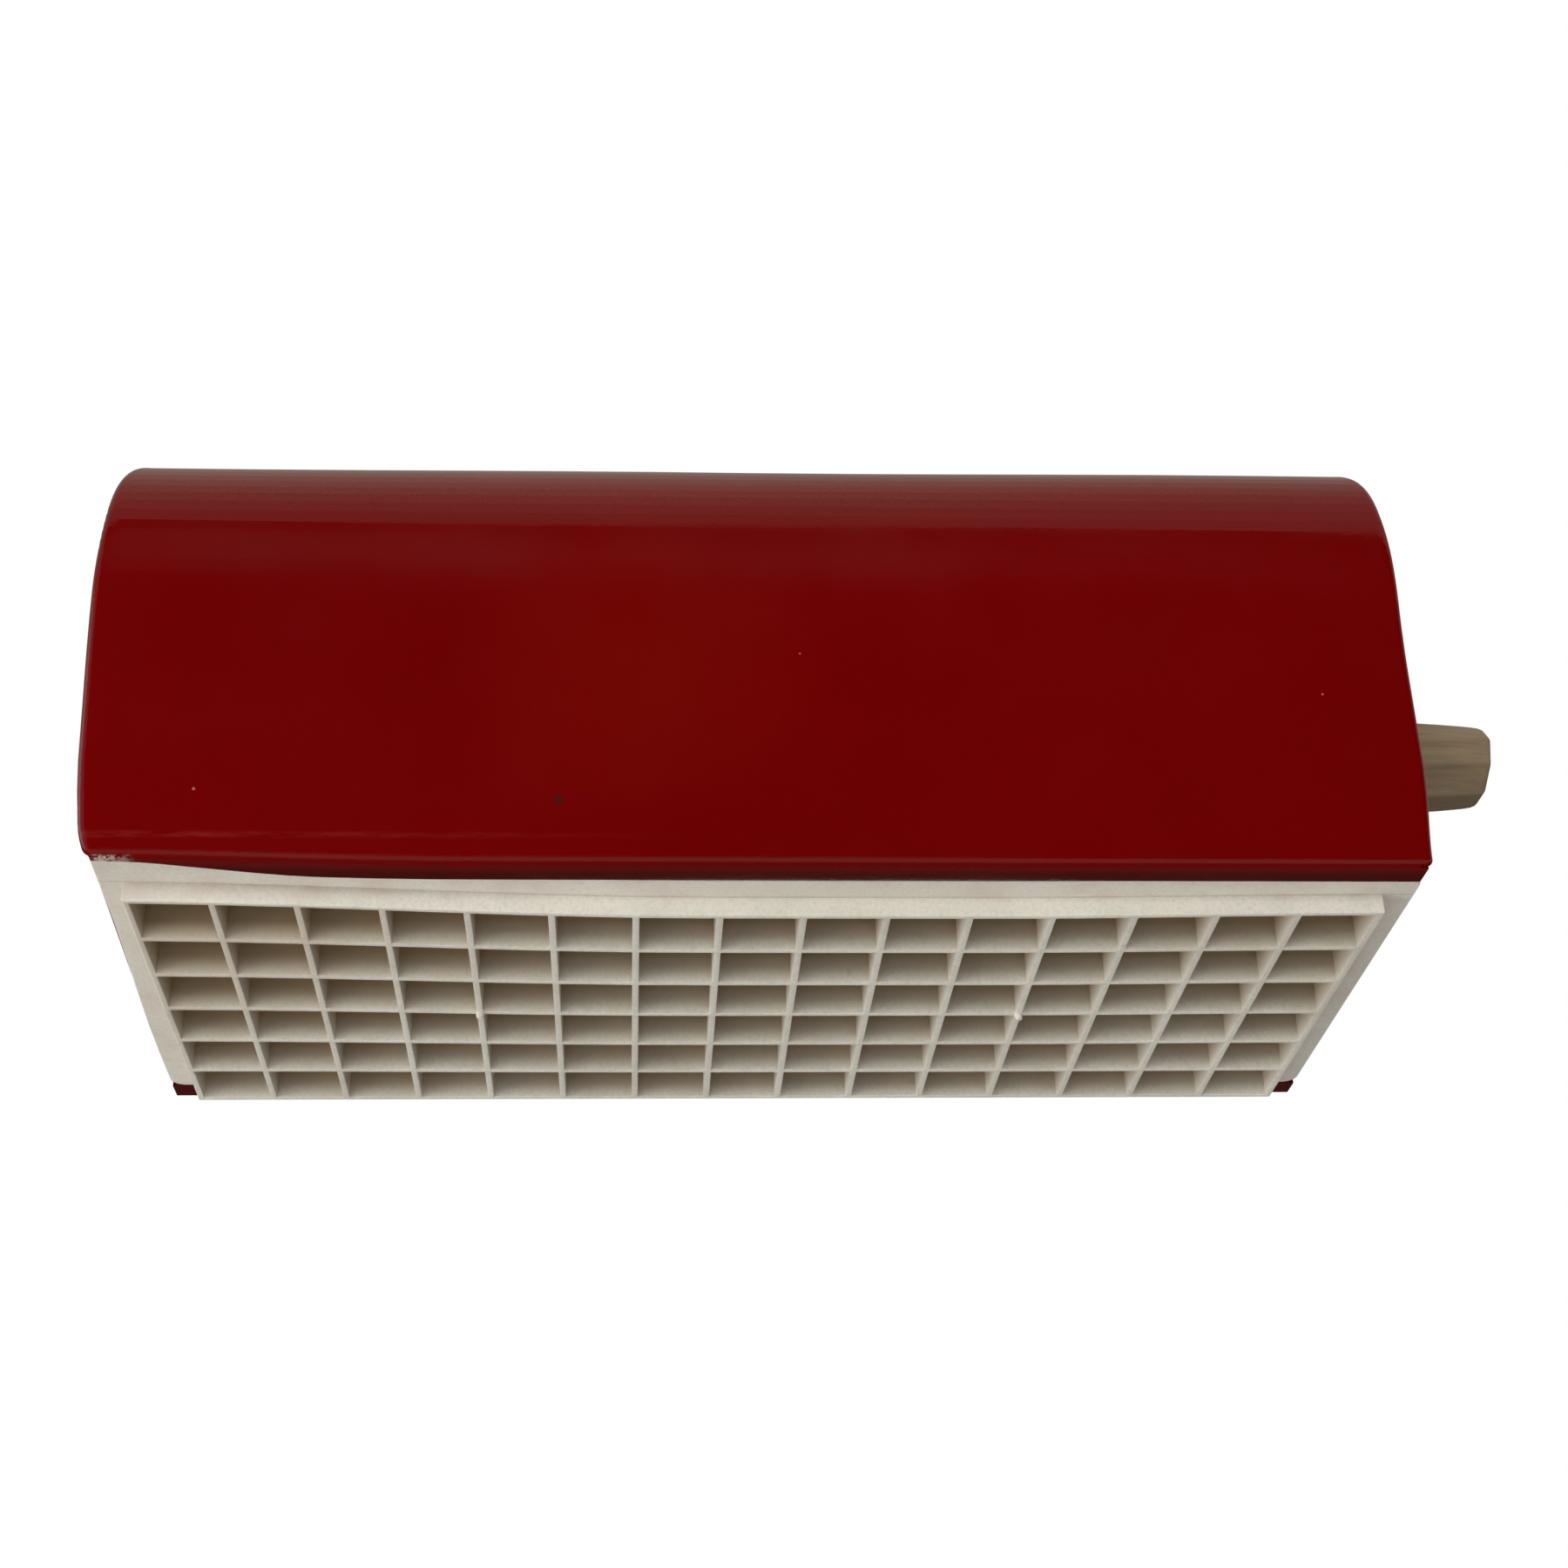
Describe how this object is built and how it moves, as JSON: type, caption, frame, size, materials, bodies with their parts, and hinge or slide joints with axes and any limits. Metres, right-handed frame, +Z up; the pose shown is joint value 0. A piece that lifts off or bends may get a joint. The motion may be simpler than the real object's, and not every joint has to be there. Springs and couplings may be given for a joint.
{
  "type": "wall lamp",
  "caption": "Box-shaped wall lamp for a bed head: rounded red sheet-steel hood, cream egg-crate louvre underneath and a rotary switch knob on its right end.",
  "frame": {"origin": "on the wall, midway between the two wall screws", "axes": "+X along the lamp towards the knob, +Y into the wall, +Z up"},
  "size_m": [0.272, 0.112, 0.1123],
  "materials": {
    "red_lacquer": "gloss lacquer",
    "cream_plastic": "satin moulding",
    "ivory_plastic": "worn gloss",
    "dark_bakelite": "gloss moulding",
    "white_ceramic": "glazed",
    "brass": "plain",
    "bulb_cap_metal": "bright",
    "plated_steel": "zinc plated",
    "bulb_glass": "clear",
    "black_rubber": "matt",
    "lead_insulation": "satin"
  },
  "bodies": {
    "lamp": {"back_plate": "red_lacquer", "block_nut": "plated_steel", "block_screw": "plated_steel", "bulb_cap": "bulb_cap_metal", "bulb_glass": "bulb_glass", "centre_contact": "brass", "cord_grommet": "black_rubber", "end_cap_left": "red_lacquer", "end_cap_right": "red_lacquer", "holder_bracket": "plated_steel", "holder_nipple": "plated_steel", "holder_nut": "plated_steel", "hood_screws": "plated_steel", "hood_shell": "red_lacquer", "lampholder_cap": "dark_bakelite", "lampholder_core": "white_ceramic", "lampholder_skirt": "dark_bakelite", "lead_live": "lead_insulation", "lead_neutral": "lead_insulation", "lead_switched": "lead_insulation", "screw_shell": "brass", "switch_base": "dark_bakelite", "switch_bush": "brass", "switch_contacts": "brass", "switch_housing": "dark_bakelite", "switch_nut": "brass", "switch_terminals": "brass", "switch_washer": "plated_steel", "terminal_block": "white_ceramic", "terminal_screws": "plated_steel", "terminal_sleeves": "brass"},
    "knob": {"knob": "ivory_plastic", "knob_screw": "plated_steel", "switch_spindle": "plated_steel", "switch_rotor": "dark_bakelite"},
    "louvre": {"louvre": "cream_plastic"}
  },
  "joints": [
    {"name": "knob_turn", "type": "hinge", "parent": "lamp", "child": "knob", "pos_m": [0.1354, -0.065, -0.025], "axis": [1, 0, 0], "continuous": true},
    {"name": "louvre_lift", "type": "slide", "parent": "lamp", "child": "louvre", "axis": [0, 0, 1], "range_m": [0, 0.018]}
  ]
}
